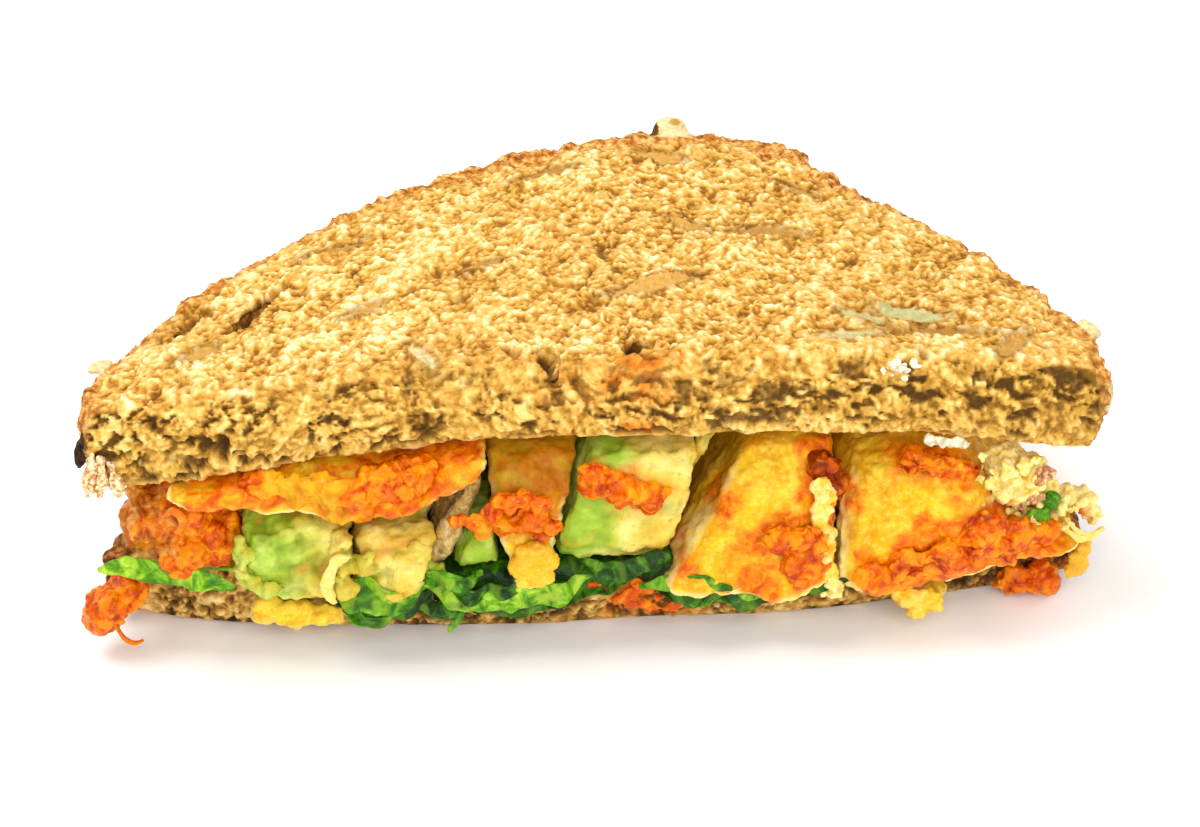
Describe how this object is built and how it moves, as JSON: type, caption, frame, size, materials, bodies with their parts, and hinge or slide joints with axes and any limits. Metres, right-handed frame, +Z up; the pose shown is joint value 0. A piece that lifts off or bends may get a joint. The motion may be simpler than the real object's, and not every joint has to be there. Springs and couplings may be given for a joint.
{
  "type": "half of a toasted avocado and omelette sandwich",
  "caption": "Half of a toasted seeded-bread sandwich, cut corner to corner, filled with omelette, avocado, spinach, mushroom and tomato relish.",
  "frame": {"origin": "centre of the footprint on the table, under the bottom slice", "axes": "+Z up, -Y out of the cut face, +X along the cut to the viewer's right"},
  "size_m": [0.1602, 0.088, 0.0484],
  "materials": {
    "toasted_bread": "dry, toasted, open crumb",
    "omelette": "moist, satin",
    "avocado": "moist, smooth",
    "mushroom": "soft, matte",
    "spinach": "wet leaf",
    "relish": "wet, glossy"
  },
  "bodies": {
    "root": {"bottom_slice": "toasted_bread", "top_slice": "toasted_bread", "omelette_left": "omelette", "omelette_mid": "omelette", "omelette_centre": "omelette", "omelette_right": "omelette", "curds_right": "omelette", "curds_tip": "omelette", "scrap_left": "omelette", "scrap_right": "omelette", "avocado_left": "avocado", "avocado_pale": "avocado", "avocado_low": "avocado", "avocado_centre": "avocado", "avocado_back": "avocado", "mushroom": "mushroom", "spinach_left": "spinach", "spinach_mid": "spinach", "spinach_right": "spinach", "leaf_left": "spinach", "relish_left": "relish", "relish_flap": "relish", "relish_mid": "relish", "relish_on_avocado": "relish", "relish_centre": "relish", "relish_right": "relish", "relish_top_right": "relish", "relish_drop_left": "relish", "relish_drop_right": "relish", "tomato_skin": "relish"}
  },
  "joints": []
}
